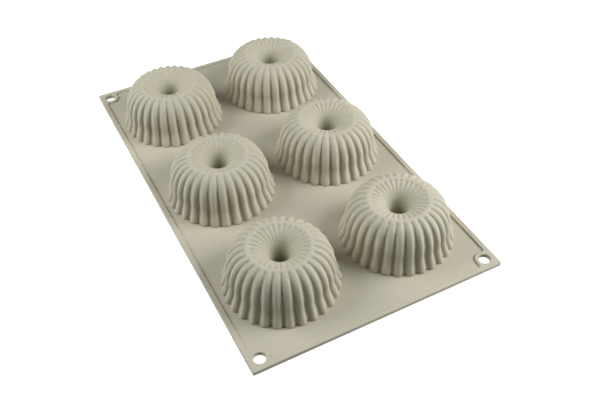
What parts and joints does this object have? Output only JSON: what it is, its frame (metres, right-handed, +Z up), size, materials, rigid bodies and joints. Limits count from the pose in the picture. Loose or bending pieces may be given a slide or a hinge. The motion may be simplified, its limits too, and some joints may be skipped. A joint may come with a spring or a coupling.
{
  "type": "silicone cake mould",
  "caption": "Flexible silicone baking mould: a flat rectangular sheet with a raised rim and corner hanging holes, carrying fluted ring-cake cups, each with a funnel core.",
  "frame": {"origin": "centre of the underside of the sheet, on the surface that the mould lies on", "axes": "+X across the short side, to the right seen from the front; +Y along the long side, from the front row to the rear row; +Z up through the crowns of the cups"},
  "size_m": [0.175, 0.3, 0.0342],
  "materials": {
    "silicone": "matte, soft, greyish beige"
  },
  "bodies": {
    "row_front": {"deck_front": "silicone", "cup_front_left": "silicone", "core_front_left": "silicone", "cup_front_right": "silicone", "core_front_right": "silicone"},
    "row_middle": {"deck_middle": "silicone", "cup_middle_left": "silicone", "core_middle_left": "silicone", "cup_middle_right": "silicone", "core_middle_right": "silicone", "flex_web_front": "silicone", "flex_web_rear": "silicone"},
    "row_rear": {"deck_rear": "silicone", "cup_rear_left": "silicone", "core_rear_left": "silicone", "cup_rear_right": "silicone", "core_rear_right": "silicone"}
  },
  "joints": [
    {"name": "bend_front", "type": "hinge", "parent": "row_middle", "child": "row_front", "pos_m": [0, -0.0477, 0.001], "axis": [1, 0, 0], "range_deg": [-40, 90], "stiffness_Nm_per_rad": 0.035, "deforming": ["flex_web_front"]},
    {"name": "bend_rear", "type": "hinge", "parent": "row_middle", "child": "row_rear", "pos_m": [0, 0.0477, 0.001], "axis": [-1, 0, 0], "range_deg": [-40, 90], "stiffness_Nm_per_rad": 0.035, "deforming": ["flex_web_rear"]}
  ]
}
